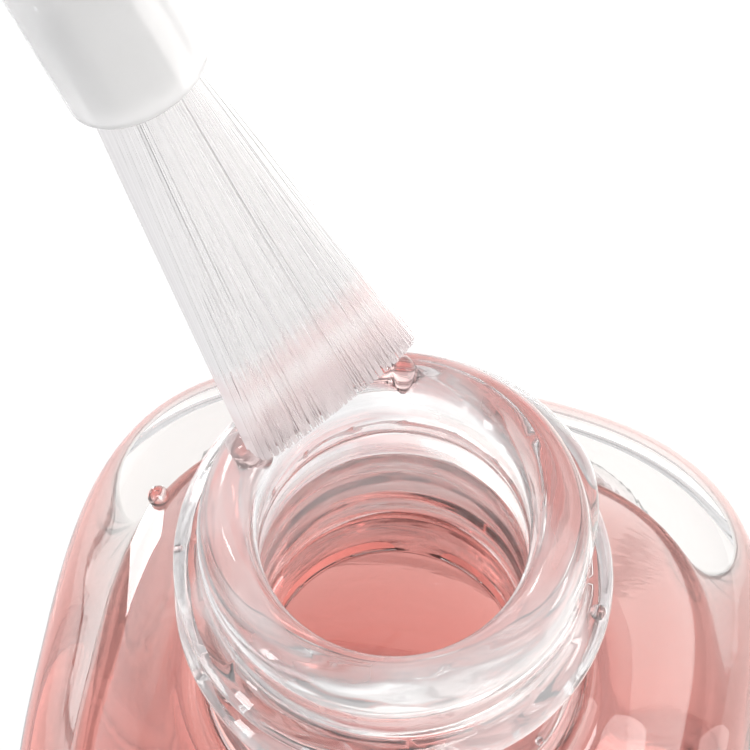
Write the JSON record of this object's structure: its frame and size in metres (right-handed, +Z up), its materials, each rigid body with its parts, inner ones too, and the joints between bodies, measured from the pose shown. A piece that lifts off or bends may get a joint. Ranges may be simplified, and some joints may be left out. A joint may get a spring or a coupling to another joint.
{
  "type": "nail polish bottle",
  "caption": "Clear glass bottle of sheer nail polish with a threaded neck, its flat brush on a clear stem out of the bottle and wiped on the rim, under a two-part screw cap",
  "frame": {"origin": "centre of the bottle's flat base, on the axis of its neck", "axes": "+Z up along the neck, +X across the wider faces of the body, +Y across the narrower ones"},
  "size_m": [0.052, 0.0397, 0.1168],
  "materials": {
    "clear_glass": "clear, thick walled, polished",
    "pink_polish": "wet, sheer pink lacquer",
    "bright_steel": "polished stainless steel",
    "nylon_bristle": "fine translucent filaments",
    "clear_stem_plastic": "clear moulded",
    "seal_foam": "soft foam",
    "white_plastic": "moulded, satin",
    "gloss_cap": "moulded, high gloss"
  },
  "bodies": {
    "bottle": {"glass_bottle": "clear_glass", "nail_polish": "pink_polish"},
    "ball_1": {"mixing_ball_1": "bright_steel"},
    "ball_2": {"mixing_ball_2": "bright_steel"},
    "tuft": {"bristle_tuft": "nylon_bristle"},
    "stem": {"brush_stem": "clear_stem_plastic", "tuft_staple": "bright_steel"},
    "cap": {"inner_cap": "white_plastic", "cap_liner": "seal_foam"},
    "overcap": {"overcap": "gloss_cap"}
  },
  "joints": [
    {"name": "brush_lift", "type": "slide", "parent": "bottle", "child": "tuft", "axis": [-0.4522, 0.2465, 0.8572], "range_m": [0, 0.045]},
    {"name": "brush_flex", "type": "hinge", "parent": "tuft", "child": "stem", "pos_m": [-0.0088, 0.00672, 0.0663], "axis": [0.6331, 0.7657, 0.1138], "range_deg": [-25, 35], "deforming": ["bristle_tuft"]},
    {"name": "cap_turn", "type": "hinge", "parent": "stem", "child": "cap", "pos_m": [-0.0088, 0.00672, 0.0663], "axis": [-0.4522, 0.2465, 0.8572], "continuous": true},
    {"name": "overcap_pull", "type": "slide", "parent": "cap", "child": "overcap", "axis": [-0.4522, 0.2465, 0.8572], "range_m": [0, 0.03]},
    {"name": "ball_1_rise", "type": "slide", "parent": "bottle", "child": "ball_1", "axis": [0, 0, 1], "range_m": [0, 0.008]},
    {"name": "ball_2_rise", "type": "slide", "parent": "bottle", "child": "ball_2", "axis": [0, 0, 1], "range_m": [0, 0.008]}
  ]
}
